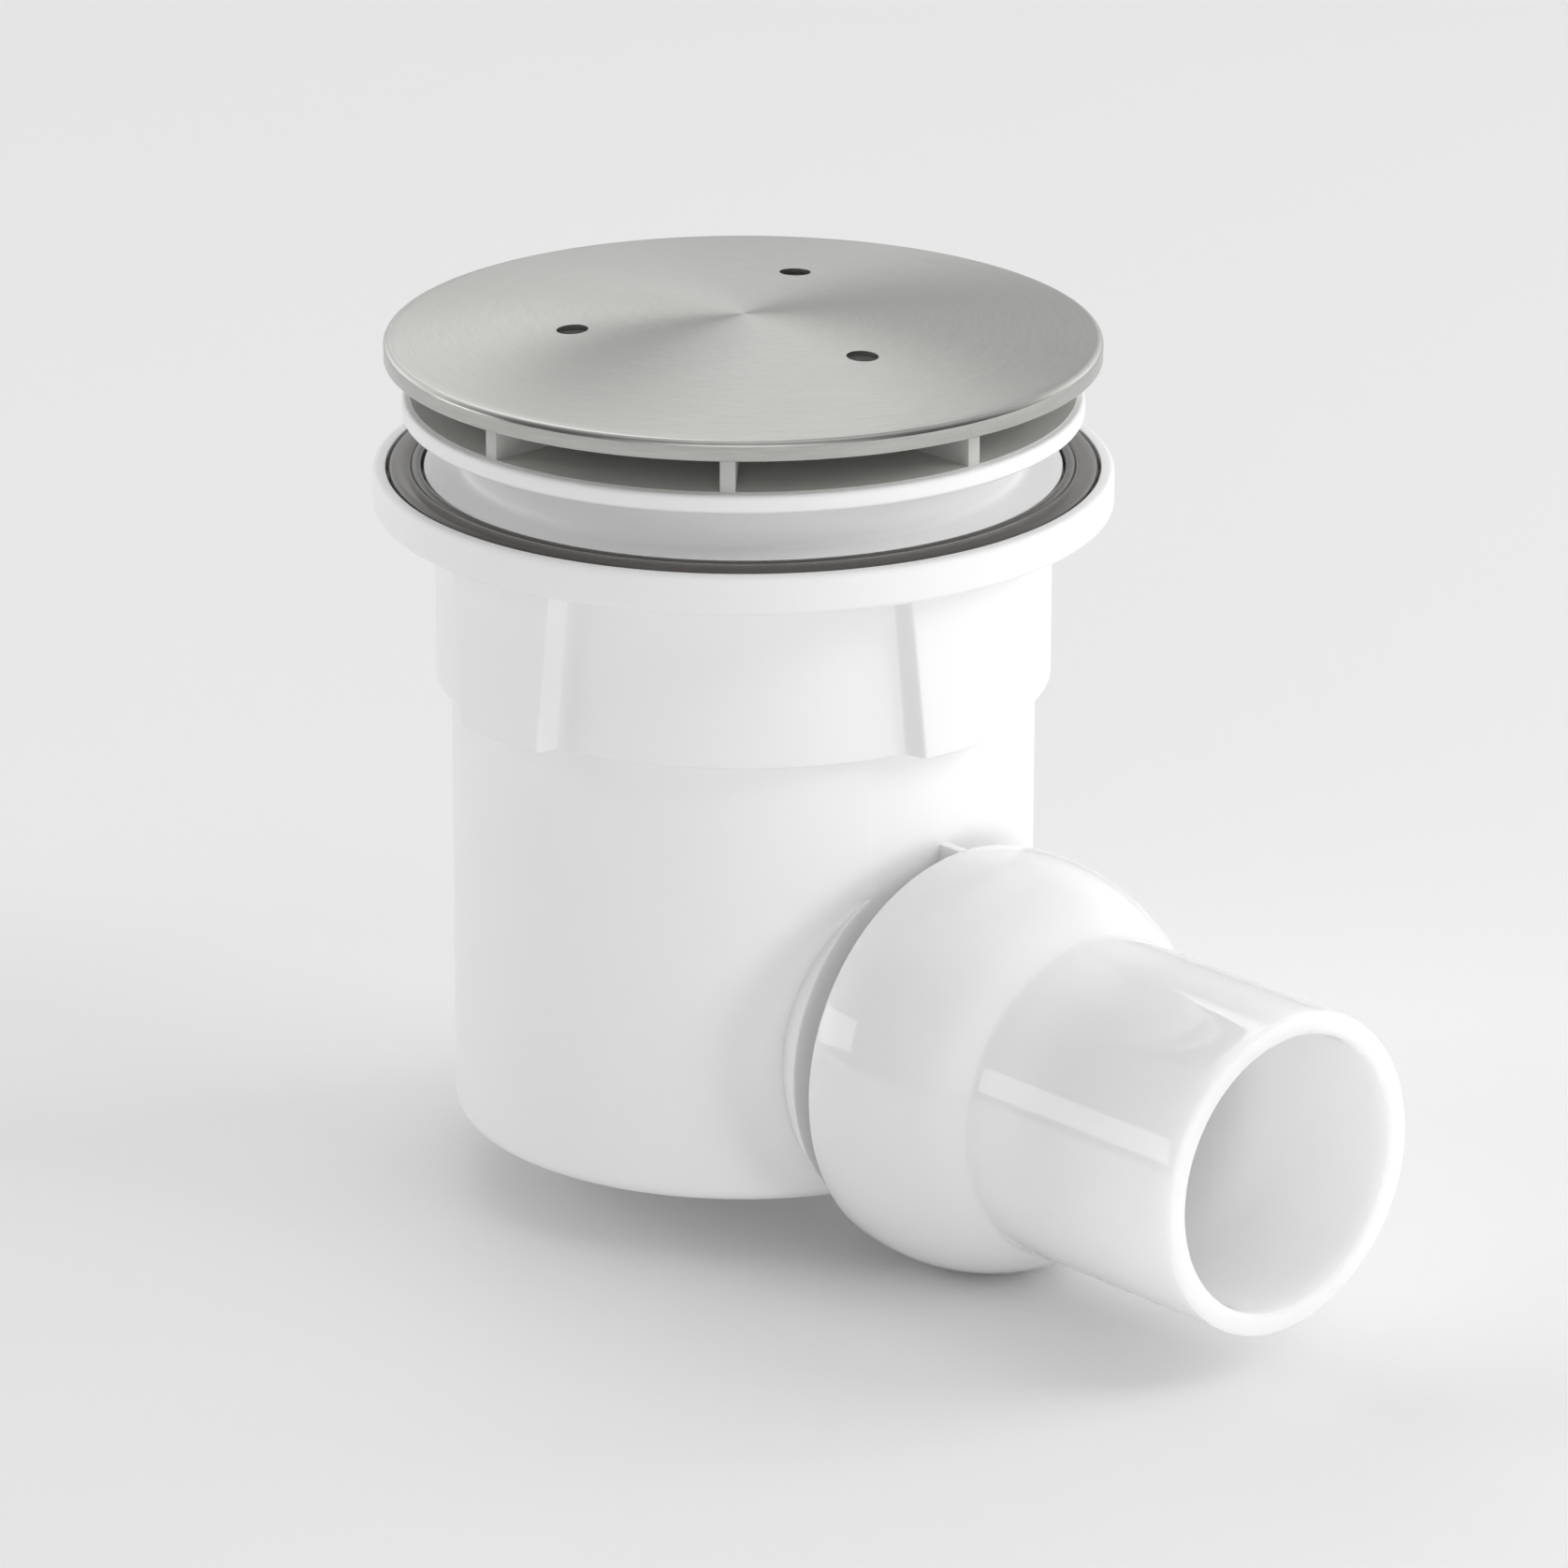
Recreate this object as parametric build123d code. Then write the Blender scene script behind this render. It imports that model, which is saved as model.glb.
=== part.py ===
"""Shower trap for a 90 mm tray hole, with a domed steel cover, a lift-out bottle siphon and a side outlet.

The trap axis is Z. z = 0 is the top of the flange, on whose seal the underside of the shower tray rests.
The outlet points along +X. All sizes are in millimetres.
"""
from build123d import *
from math import sqrt, sin, cos, radians
import os

# Cover plate, pressed from steel sheet
cover_overhang = 2.7
cover_rim_h = 3.0
cover_crown = 3.4
cover_sheet = 1.2
cover_edge_fillet = 0.8
cover_hole_r = 2.46
cover_hole_to_rib = 5.2
cover_hole_count = 3

# Cover carrier, the moulding that fills the cover and stands on the clamping ring
carrier_skin = 2.0
carrier_rim_w = 3.6
rib_count = 8
rib_w = 2.35
rib_h = 6.2
rib_setback = 1.3
rib_length = 19.4
locating_wall = 3.0
locating_depth = 7.4

# Clamping sleeve, which goes down through the tray hole and screws into the flange collar
clamp_ring_w = 9.7
clamp_ring_h = 2.9
clamp_gap = 8.3
neck_inset = 2.5
neck_wall = 4.8
neck_length = 22.3
nose_step = 0.6
nose_length = 14.0
sleeve_lip_w = 2.4
sleeve_lip_h = 2.1
ring_edge_fillet = 0.7

# Flange collar, the screw ring with grip pads that carries the lower tray seal
flange_h = 6.1
skirt_wall = 2.1
skirt_bottom = -33.6
flange_edge_fillet = 0.9
groove_to_skirt = 1.5
groove_w = 5.9
groove_rim_w = 2.1
groove_depth = 2.6
pad_rise = 3.4
pad_count = 4
pad_top_half_deg = 14.6
pad_bottom_half_deg = 11.7
pad_ramp_top_deg = 1.7
pad_ramp_bottom_deg = 2.2
pad_crest_fillet = 1.6

# Flange seal, the rubber ring in the flange groove
seal_crown = 0.75
seal_bead_w = 1.5
seal_bead_h = 0.45
seal_edge_z = -0.25
seal_side_gap = 0.45

# Trap body, the cup with its outlet boss and stub
body_r = 45.5
body_wall = 2.3
body_floor = 2.6
body_bottom = -105.4
body_bottom_fillet = 2.6
body_inner_fillet = 2.2
body_gasket_h = 2.5
outlet_above_bottom = 22.6
boss_inset = 0.8
boss_front_depth = 2.0
stub_inset = 1.6
stub_wall = 2.9
stub_end_gap = 3.0
stub_ring_to_end = 6.0
lug_w = 1.6
lug_h = 3.0
lug_top_inset = 0.7

# Outlet connector, the ball-shaped cap with its DN 50 spigot
ball_rise = 7.8
ball_reach = 10.9
ball_rim_back = 6.5
ball_wall = 2.6
ball_rim_fillet = 0.4
ball_neck_fillet = 2.0
spigot_r = 25.15
spigot_wall = 3.55
spigot_reach = 63.8
spigot_edge_fillet = 0.7
socket_wall = 2.5
socket_mouth_back = 3.5
socket_depth = 17.0
socket_cone = 4.0

# Siphon insert: the dip tube stands in the cup, whose rim sets the water level, 50 mm over the tube's end
dip_rim_h = 13.9
dip_wall = 3.0
dip_cone_h = 13.5
dip_cone_wall = 2.3
dip_tube_bore_r = 14.0
dip_tube_wall = 2.0
dip_tube_foot = 10.0
cup_inset = 1.3
cup_wall = 2.0
cup_floor = 2.0
cup_rim_drop = 12.1
cup_foot = 2.8
cup_arm_count = 3
cup_arm_deg = 30.0
cup_arm_turn_deg = 60.0
cup_socket_wall = 1.4
cup_socket_h = 7.1
cup_fillet = 3.0
grip_bar_w = 3.0
grip_bar_h = 9.0

# Hair strainer, which stands on the dip tube's rim
strainer_rim_h = 1.5
strainer_wall = 1.5
strainer_depth = 8.0
strainer_draft = 2.2
strainer_slot_w = 2.6
outer_slots = 20
inner_slots = 10
slot_land = 3.2
knob_r = 5.0
knob_h = 9.0
knob_fillet = 1.5

# Round rubber rings
cord_r = 0.95
outlet_cord_r = 1.2

# Clearances
sheet_gap = 0.1
slide_gap = 0.4
screw_gap = 0.3
loose_gap = 0.3
seat_gap = 0.05
ring_side_gap = 0.2
groove_side = 0.25

# Radii that follow from the body's radius
body_bore_r = body_r - body_wall
skirt_bore_r = body_r + screw_gap
skirt_r = skirt_bore_r + skirt_wall
pad_r = skirt_r + pad_rise
groove_inner_r = skirt_r + groove_to_skirt
groove_outer_r = groove_inner_r + groove_w
flange_r = groove_outer_r + groove_rim_w
neck_r = body_r - neck_inset
bore_r = neck_r - neck_wall
lip_r = bore_r - sleeve_lip_w
collar_bore_r = neck_r + screw_gap
clamp_ring_r = neck_r + clamp_ring_w
cover_r = clamp_ring_r + cover_overhang
rib_outer_r = clamp_ring_r - rib_setback
rib_inner_r = rib_outer_r - rib_length
cover_hole_pitch_r = rib_inner_r - cover_hole_to_rib
dip_r = bore_r - loose_gap
dip_inner_r = dip_r - dip_wall
tube_r = dip_tube_bore_r + dip_tube_wall
cup_r = dip_inner_r - cup_inset

# Heights that follow, from the cover down
ring_under_z = clamp_gap
ring_top_z = ring_under_z + clamp_ring_h
cover_under_z = ring_top_z + rib_h
cover_rim_z = cover_under_z + cover_rim_h
cap_r = (cover_r ** 2 + cover_crown ** 2) / (2 * cover_crown)
cap_centre_z = cover_rim_z + cover_crown - cap_r
nose_top_z = ring_under_z - neck_length
nose_bottom_z = nose_top_z - nose_length
lip_top_z = nose_bottom_z + sleeve_lip_h
hub_bottom_z = nose_top_z
body_top_z = hub_bottom_z - body_gasket_h
outlet_z = body_bottom + outlet_above_bottom
dip_bottom_z = lip_top_z
dip_top_z = dip_bottom_z + dip_rim_h
cone_top_z = dip_bottom_z + dip_cone_wall
cup_rim_z = dip_bottom_z - cup_rim_drop
cup_bottom_z = body_bottom + body_floor + cup_foot
tube_bottom_z = cup_bottom_z + cup_floor + dip_tube_foot

# The outlet's radii and places, which follow from the spigot's and the body's radius
spigot_bore_r = spigot_r - spigot_wall
ball_r = spigot_r + ball_rise
boss_ball_r = ball_r - boss_inset
lug_top_z = outlet_z + ball_r - lug_top_inset
stub_r = spigot_r - stub_inset
stub_bore_r = stub_r - stub_wall
socket_r = stub_r + loose_gap
boss_front_x = body_r - boss_front_depth
ball_centre_x = body_r + ball_reach
ball_rim_x = ball_centre_x - ball_rim_back
socket_mouth_x = ball_centre_x - socket_mouth_back
socket_end_x = socket_mouth_x + socket_depth
stub_end_x = socket_end_x - stub_end_gap
stub_ring_x = stub_end_x - stub_ring_to_end
spigot_end_x = ball_centre_x + spigot_reach


def cap_z(r, depth=0.0):
    """Height of the domed cover at radius r, measured on a surface lying depth below its top."""
    return cap_centre_z + sqrt((cap_r - depth) ** 2 - r ** 2)


def turned(*points):
    """Solid of revolution about the trap axis, from (radius, height) corners."""
    outline = Polyline(*points, close=True)
    return revolve(Plane.XZ * make_face(outline), Axis.Z)


def ring(inner_r, outer_r, low_z, high_z):
    """Plain ring about the trap axis."""
    return turned((inner_r, low_z), (outer_r, low_z), (outer_r, high_z), (inner_r, high_z))


def disc(r, low_z, high_z):
    """Plain cylinder on the trap axis."""
    return Pos(0, 0, low_z) * extrude(Circle(r), high_z - low_z)


def rod_x(r, low_x, high_x):
    """Cylinder on the outlet axis."""
    return Plane.YZ.offset(low_x) * Pos(0, outlet_z) * extrude(Circle(r), high_x - low_x)


def block(low, high):
    """Box between two corners."""
    size = [b - a for a, b in zip(low, high)]
    centre = [(a + b) / 2 for a, b in zip(low, high)]
    return Pos(*centre) * Box(*size)


def around(count, solid, start=0.0):
    """Copies of a solid, evenly spaced round the trap axis, as one part."""
    return Part() + [Rot(0, 0, start + k * 360 / count) * solid for k in range(count)]


def round_edges(part, radius, height):
    """The circular edges about the trap axis with a given radius and height."""
    tolerance = 0.01

    def wanted(edge):
        near = abs(edge.radius - radius) < tolerance
        return near and abs(edge.arc_center.Z - height) < tolerance
    return part.edges().filter_by(GeomType.CIRCLE).filter_by(wanted)


def o_ring(centre_r, section_r, height):
    """Round rubber ring about the trap axis."""
    return Pos(0, 0, height) * Torus(centre_r, section_r)


def domed_solid(r, depth):
    """Solid with the cover's crown on top, lying depth below the cover's face, and a flat underside."""
    crown = ThreePointArc((0, cap_z(0, depth)), (r / 2, cap_z(r / 2, depth)), (r, cap_z(r, depth)))
    walls = Polyline((r, cap_z(r, depth)), (r, cover_under_z), (0, cover_under_z), (0, cap_z(0, depth)))
    return revolve(Plane.XZ * make_face(crown + walls), Axis.Z)


def cover_holes(r):
    """Drills for the cover's three holes, one of which lies over the outlet."""
    drill = Pos(cover_hole_pitch_r, 0, cover_under_z - cover_rim_h)
    return around(cover_hole_count, drill * extrude(Circle(r), 2 * (cover_rim_h + cover_crown)))


def make_cover_plate():
    """Domed steel plate with a turned-down rim and three holes."""
    plate = fillet(round_edges(domed_solid(cover_r, 0), cover_r, cover_rim_z), cover_edge_fillet)
    plate -= domed_solid(cover_r - cover_sheet, cover_sheet)
    return plate - cover_holes(cover_hole_r)


def carrier_r():
    """Outer radius of the carrier inside the cover's rim."""
    return cover_r - cover_sheet - ring_side_gap


def locating_r():
    """Outer radius of the carrier's locating ring in the sleeve's bore."""
    return bore_r - slide_gap


def grip_ring_z():
    """Height of the rubber ring round the locating ring."""
    return ring_top_z - locating_depth / 2


def make_cover_carrier():
    """Moulding under the plate: a thin dome, eight radial ribs and a ring that locates it in the sleeve."""
    depth = cover_sheet + sheet_gap
    full = domed_solid(carrier_r(), depth)
    hollow = domed_solid(carrier_r() - carrier_rim_w, depth + carrier_skin)
    locating_bottom = ring_top_z - locating_depth
    locating = ring(locating_r() - locating_wall, locating_r(), locating_bottom, ring_top_z)
    foot = block((rib_inner_r, -rib_w / 2, ring_top_z), (rib_outer_r, rib_w / 2, cover_under_z))
    web_outer_r = locating_r() - locating_wall / 2
    web = block((rib_inner_r, -rib_w / 2, locating_bottom), (web_outer_r, rib_w / 2, ring_top_z))
    tall = block((rib_inner_r, -rib_w / 2, cover_under_z), (rib_outer_r, rib_w / 2, cap_z(0)))
    carrier = full - hollow + (full & around(rib_count, tall)) + around(rib_count, foot)
    carrier = carrier + around(rib_count, web) + locating
    seat_r = bore_r - seat_gap - 2 * cord_r
    side = cord_r + groove_side
    groove = ring(seat_r, bore_r, grip_ring_z() - side, grip_ring_z() + side)
    return carrier - groove - cover_holes(cover_hole_r + ring_side_gap)


def make_cover_grip_ring():
    """Rubber ring that holds the cover in the sleeve."""
    return o_ring(bore_r - seat_gap - cord_r, cord_r, grip_ring_z())


def make_clamping_sleeve():
    """White ring on a neck: it presses the tray onto the flange seal, and the siphon insert hangs in it."""
    nose_r = neck_r - nose_step
    sleeve = turned(
        (bore_r, ring_top_z), (clamp_ring_r, ring_top_z), (clamp_ring_r, ring_under_z),
        (neck_r, ring_under_z), (neck_r, nose_top_z), (nose_r, nose_top_z), (nose_r, nose_bottom_z),
        (lip_r, nose_bottom_z), (lip_r, lip_top_z), (bore_r, lip_top_z))
    sleeve = fillet(round_edges(sleeve, clamp_ring_r, ring_top_z), ring_edge_fillet)
    sleeve = fillet(round_edges(sleeve, clamp_ring_r, ring_under_z), ring_edge_fillet)
    sleeve = fillet(round_edges(sleeve, neck_r, ring_under_z), ring_edge_fillet)
    return chamfer(round_edges(sleeve, bore_r, ring_top_z), ring_edge_fillet)


def plan_point(r, degrees, z):
    """Point at a radius and a bearing from the outlet direction."""
    return (r * cos(radians(degrees)), r * sin(radians(degrees)), z)


def pad_section(z, half_deg, ramp_deg):
    """Plan of a grip pad at one height, from inside the skirt to beyond the crest."""
    inner_r = (skirt_bore_r + skirt_r) / 2
    slope = ramp_deg / (pad_r - skirt_r)
    outer_r = pad_r + flange_edge_fillet
    inner_half = half_deg + slope * (skirt_r - inner_r)
    outer_half = half_deg - slope * (outer_r - skirt_r)
    corners = [plan_point(inner_r, -inner_half, z), plan_point(outer_r, -outer_half, z),
               plan_point(outer_r, 0, z), plan_point(outer_r, outer_half, z),
               plan_point(inner_r, inner_half, z)]
    return make_face(Polyline(*corners, close=True))


def grip_pad():
    """One grip pad: wide at the top, narrower at the bottom, with sloping sides and a round face."""
    top = pad_section(-flange_h, pad_top_half_deg, pad_ramp_top_deg)
    bottom = pad_section(skirt_bottom, pad_bottom_half_deg, pad_ramp_bottom_deg)
    pad = loft([bottom, top], ruled=True) & ring((skirt_bore_r + skirt_r) / 2, pad_r, skirt_bottom, -flange_h)

    def crest(edge):
        middle = edge.position_at(0.5)
        return abs(middle.X ** 2 + middle.Y ** 2 - pad_r ** 2) < 1 and abs(edge.tangent_at(0.5).Z) > 0.5
    return fillet(pad.edges().filter_by(crest), pad_crest_fillet)


def make_flange_collar():
    """Flange with a seal groove and a threaded skirt, gripped by four pads."""
    collar = turned(
        (collar_bore_r, 0), (groove_inner_r, 0), (groove_inner_r, -groove_depth),
        (groove_outer_r, -groove_depth), (groove_outer_r, 0), (flange_r, 0), (flange_r, -flange_h),
        (skirt_r, -flange_h), (skirt_r, skirt_bottom), (skirt_bore_r, skirt_bottom),
        (skirt_bore_r, hub_bottom_z), (collar_bore_r, hub_bottom_z))
    collar = fillet(round_edges(collar, flange_r, 0), flange_edge_fillet)
    collar = fillet(round_edges(collar, flange_r, -flange_h), flange_edge_fillet)
    return collar + around(pad_count, grip_pad())


def make_flange_seal():
    """Rubber ring with a rounded back and a small bead along its inner edge."""
    inner = groove_inner_r + seal_side_gap
    outer = groove_outer_r - seal_side_gap
    valley = inner + seal_bead_w
    bead = ThreePointArc((inner, 0), (inner + seal_bead_w / 2, seal_bead_h), (valley, 0))
    back = ThreePointArc((valley, 0), ((valley + outer) / 2, seal_crown), (outer, seal_edge_z))
    sides = Polyline((outer, seal_edge_z), (outer, -groove_depth), (inner, -groove_depth), (inner, 0))
    return revolve(Plane.XZ * make_face(bead + back + sides), Axis.Z)


def make_body_gasket():
    """Flat rubber ring between the body's rim and the collar."""
    return ring(collar_bore_r, body_r, body_top_z, hub_bottom_z)


def outlet_cord_r_centre():
    """Centre radius of the rubber ring on the outlet stub."""
    return socket_r - seat_gap - outlet_cord_r


def outlet_groove():
    """Groove for the rubber ring near the stub's end."""
    side = outlet_cord_r + groove_side
    seat_r = outlet_cord_r_centre() - outlet_cord_r
    low_x = stub_ring_x - side
    high_x = stub_ring_x + side
    return rod_x(stub_r + 1, low_x, high_x) - rod_x(seat_r, low_x, high_x)


def make_trap_body():
    """Cup with a ball-backed boss, a stub for the outlet connector and a lug that keeps it from turning."""
    cup = fillet(round_edges(disc(body_r, body_bottom, body_top_z), body_r, body_bottom), body_bottom_fillet)
    ball = Pos(ball_centre_x, 0, outlet_z) * Sphere(boss_ball_r)
    boss = ball & block((0, -body_r, 2 * body_bottom), (boss_front_x, body_r, 0))
    lug = block((body_bore_r, -lug_w / 2, lug_top_z - lug_h), (ball_rim_x - sheet_gap, lug_w / 2, lug_top_z))
    stub = rod_x(stub_r, body_bore_r - 1, stub_end_x)
    inside = disc(body_bore_r, body_bottom + body_floor, body_top_z)
    inside = fillet(round_edges(inside, body_bore_r, body_bottom + body_floor), body_inner_fillet)
    body = cup + boss + lug + stub - inside
    return body - rod_x(stub_bore_r, ball_centre_x / 2, stub_end_x) - outlet_groove()


def make_outlet_o_ring():
    """Rubber ring on the outlet stub."""
    return Pos(stub_ring_x, 0, outlet_z) * Rot(0, 90, 0) * Torus(outlet_cord_r_centre(), outlet_cord_r)


def ball_point(r, x):
    """Point in the outlet's half section, on a ball of radius r at place x."""
    return (x, sqrt(r ** 2 - (x - ball_centre_x) ** 2))


def ball_x(r, height):
    """Place beyond the ball's centre where it has a given radius about the outlet axis."""
    return ball_centre_x + sqrt(r ** 2 - height ** 2)


def make_outlet_connector():
    """Ball-shaped cap that runs out into the spigot, with a socket inside for the body's stub."""
    inner_ball_r = ball_r - ball_wall
    sleeve_r = socket_r + socket_wall
    crease_x = ball_x(ball_r, spigot_r)
    root_x = ball_x(inner_ball_r, sleeve_r)
    outer = ThreePointArc(ball_point(ball_r, ball_rim_x), (ball_centre_x, ball_r), (crease_x, spigot_r))
    spigot = Polyline((crease_x, spigot_r), (spigot_end_x, spigot_r), (spigot_end_x, spigot_bore_r),
                      (socket_end_x + socket_cone, spigot_bore_r), (socket_end_x, socket_r),
                      (socket_mouth_x, socket_r), (socket_mouth_x, sleeve_r), (root_x, sleeve_r))
    inner_rim = ball_point(inner_ball_r, ball_rim_x)
    inner = ThreePointArc((root_x, sleeve_r), (ball_centre_x, inner_ball_r), inner_rim)
    rim = Line(inner_rim, ball_point(ball_r, ball_rim_x))
    section = make_face(outer + spigot + inner + rim)
    connector = revolve(Pos(0, 0, outlet_z) * (Plane.XZ * section), Axis((0, 0, outlet_z), (1, 0, 0)))

    def at(radius, x):
        def wanted(edge):
            return abs(edge.radius - radius) < 0.01 and abs(edge.arc_center.X - x) < 0.01
        return connector.edges().filter_by(GeomType.CIRCLE).filter_by(wanted)
    connector = fillet(at(spigot_r, crease_x), ball_neck_fillet)
    connector = fillet(at(spigot_r, spigot_end_x), spigot_edge_fillet)
    connector = fillet(at(spigot_bore_r, spigot_end_x), spigot_edge_fillet)
    return fillet(at(ball_point(ball_r, ball_rim_x)[1], ball_rim_x), ball_rim_fillet)


def dip_ring_z():
    """Height of the rubber ring round the dip tube's rim."""
    return dip_bottom_z + dip_rim_h / 2


def make_dip_tube():
    """Funnel with a rim that hangs in the sleeve, a tube down into the cup and a bar to lift it by."""
    socket_inner_r = cup_r + loose_gap
    socket_outer_r = socket_inner_r + cup_socket_wall
    cone_low_z = cone_top_z - dip_cone_h
    funnel = turned(
        (dip_inner_r, dip_top_z), (dip_r, dip_top_z), (dip_r, dip_bottom_z), (socket_outer_r, dip_bottom_z),
        (socket_outer_r, dip_bottom_z - cup_socket_h), (socket_inner_r, dip_bottom_z - cup_socket_h),
        (socket_inner_r, dip_bottom_z - dip_cone_wall / 2), (tube_r, cone_low_z - dip_cone_wall),
        (tube_r, tube_bottom_z), (dip_tube_bore_r, tube_bottom_z), (dip_tube_bore_r, cone_low_z),
        (dip_inner_r, cone_top_z))
    seat_r = bore_r - seat_gap - 2 * cord_r
    side = cord_r + groove_side
    groove = ring(seat_r, bore_r, dip_ring_z() - side, dip_ring_z() + side)
    bar_z = cone_low_z - grip_bar_h
    bar = block((-dip_tube_bore_r - dip_tube_wall / 2, -grip_bar_w / 2, bar_z),
                (dip_tube_bore_r + dip_tube_wall / 2, grip_bar_w / 2, cone_low_z))
    return funnel - groove + bar


def make_dip_tube_o_ring():
    """Rubber ring that seals the dip tube's rim in the sleeve."""
    return o_ring(bore_r - seat_gap - cord_r, cord_r, dip_ring_z())


def make_siphon_cup():
    """Cup round the dip tube: its rim is the water level, and three arms push into the funnel's socket."""
    inner_r = cup_r - cup_wall
    cup = fillet(round_edges(disc(cup_r, cup_bottom_z, cup_rim_z), cup_r, cup_bottom_z), cup_fillet)
    inside = disc(inner_r, cup_bottom_z + cup_floor, cup_rim_z)
    cup -= fillet(round_edges(inside, inner_r, cup_bottom_z + cup_floor), cup_fillet - cup_floor / 2)
    under_cone = (cup_r + loose_gap - inner_r) * (dip_cone_h + dip_cone_wall / 2)
    under_cone = under_cone / (cup_r + loose_gap - tube_r)
    arm_top_z = dip_bottom_z - dip_cone_wall / 2 - under_cone - loose_gap
    arm_ring = ring(inner_r, cup_r, cup_rim_z, arm_top_z)
    reach = 2 * cup_r
    wedge = make_face(Polyline((0, 0), (reach, -reach * sin(radians(cup_arm_deg / 2))),
                               (reach, reach * sin(radians(cup_arm_deg / 2))), close=True))
    wedge = Pos(0, 0, cup_rim_z) * extrude(wedge, arm_top_z - cup_rim_z)
    return cup + (arm_ring & around(cup_arm_count, wedge, cup_arm_turn_deg))


def slot(inner_r, outer_r, low_z, high_z):
    """Radial slot cutter with round ends."""
    middle = (inner_r + outer_r) / 2
    outline = SlotOverall(outer_r - inner_r, strainer_slot_w)
    return Pos(middle, 0, low_z) * extrude(outline, high_z - low_z)


def make_hair_strainer():
    """Basket with slots in its floor and a knob to lift it by."""
    rim_r = bore_r - slide_gap
    top_r = dip_inner_r - slide_gap
    floor_z = dip_top_z - strainer_depth
    low_r = top_r - strainer_draft
    basket = turned(
        (0, floor_z), (low_r, floor_z), (top_r, dip_top_z), (rim_r, dip_top_z),
        (rim_r, dip_top_z + strainer_rim_h), (top_r - strainer_wall, dip_top_z + strainer_rim_h),
        (low_r - strainer_wall, floor_z + strainer_wall), (0, floor_z + strainer_wall))
    knob = disc(knob_r, floor_z, floor_z + knob_h)
    knob = fillet(round_edges(knob, knob_r, floor_z + knob_h), knob_fillet)
    slots_outer_r = low_r - slot_land
    slots_inner_r = knob_r + slot_land
    land_r = (slots_outer_r + slots_inner_r) / 2
    high_z = floor_z + 2 * strainer_wall
    outer = slot(land_r + slot_land / 2, slots_outer_r, floor_z, high_z)
    inner = slot(slots_inner_r, land_r - slot_land / 2, floor_z, high_z)
    return basket + knob - around(outer_slots, outer) - around(inner_slots, inner)


PARTS = {
    "cover_plate": make_cover_plate,
    "cover_carrier": make_cover_carrier,
    "cover_grip_ring": make_cover_grip_ring,
    "clamping_sleeve": make_clamping_sleeve,
    "hair_strainer": make_hair_strainer,
    "flange_seal": make_flange_seal,
    "flange_collar": make_flange_collar,
    "body_gasket": make_body_gasket,
    "trap_body": make_trap_body,
    "dip_tube": make_dip_tube,
    "dip_tube_o_ring": make_dip_tube_o_ring,
    "siphon_cup": make_siphon_cup,
    "outlet_connector": make_outlet_connector,
    "outlet_o_ring": make_outlet_o_ring,
}


def main():
    os.makedirs("parts", exist_ok=True)
    for name, make in PARTS.items():
        part = make()
        solids = part.solids()
        export_step(solids[0] if len(solids) == 1 else Compound(children=solids), f"parts/{name}.step")


main()
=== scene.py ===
"""Shower trap with a domed steel cover, shown as in a white studio.

Lengths are in metres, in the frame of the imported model: the trap axis is Z, z = 0 is the top of the flange,
and the outlet points along +X.
"""
import math

import bmesh
import bpy
from mathutils import Matrix, Vector


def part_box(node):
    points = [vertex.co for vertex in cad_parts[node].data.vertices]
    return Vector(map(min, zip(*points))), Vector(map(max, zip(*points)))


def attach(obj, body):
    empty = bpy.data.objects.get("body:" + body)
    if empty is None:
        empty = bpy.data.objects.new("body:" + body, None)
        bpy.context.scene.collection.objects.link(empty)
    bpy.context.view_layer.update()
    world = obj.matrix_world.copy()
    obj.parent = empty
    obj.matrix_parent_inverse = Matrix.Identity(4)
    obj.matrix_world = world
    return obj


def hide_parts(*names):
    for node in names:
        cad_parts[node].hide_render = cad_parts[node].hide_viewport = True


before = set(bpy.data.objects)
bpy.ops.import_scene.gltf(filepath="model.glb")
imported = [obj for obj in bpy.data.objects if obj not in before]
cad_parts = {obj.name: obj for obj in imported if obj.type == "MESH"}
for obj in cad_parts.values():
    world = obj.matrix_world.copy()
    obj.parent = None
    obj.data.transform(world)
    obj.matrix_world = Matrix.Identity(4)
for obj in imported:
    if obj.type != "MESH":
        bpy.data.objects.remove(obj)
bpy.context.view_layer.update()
MM = 0.001
TURN = 2 * math.pi
STEPS = 256
ARC_STEPS = 12
BRACE = 1.3 * MM

# Cover
COVER_R = 55.4 * MM
COVER_RIM_H = 3.0 * MM
COVER_CROWN = 3.4 * MM
COVER_SHEET = 1.2 * MM
COVER_HOLE_R = 2.46 * MM
COVER_HOLE_PLACE = 26.8 * MM
COVER_HOLES = 3
HOLE_LIP = 0.45 * MM
HOLE_RELIEF_R = 3.9 * MM
EDGE_BAND = 1.0 * MM
EDGE_BLEND = 0.3 * MM

# Carrier and ribs
RIBS = 8
RIB_W = 2.35 * MM
RIB_H = 6.2 * MM
RIB_OUTER = 51.4 * MM
RIB_INNER = 32.0 * MM
CARRIER_R = 54.0 * MM
CARRIER_RIM = 3.6 * MM
CARRIER_SKIN = 2.0 * MM
LOCATING_R = 37.8 * MM
LOCATING_WALL = 3.0 * MM
LOCATING_DEPTH = 7.4 * MM
# Thin grey sheet on the white ring top between the ribs: painted shade for the slots under the cover
SHADE_SHEET_IN = 37.0 * MM
SHADE_SHEET_H = 0.25 * MM

# Clamping sleeve
RING_R = 52.7 * MM
RING_H = 2.9 * MM
RING_UNDER = 8.3 * MM
NECK_R = 43.0 * MM
BORE_R = 38.2 * MM
NOSE_R = 42.4 * MM
NOSE_TOP = -14.0 * MM
NOSE_END = -28.0 * MM
LIP_R = 35.8 * MM
LIP_TOP = -25.9 * MM
FOOT_FLARE = 1.4 * MM

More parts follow.
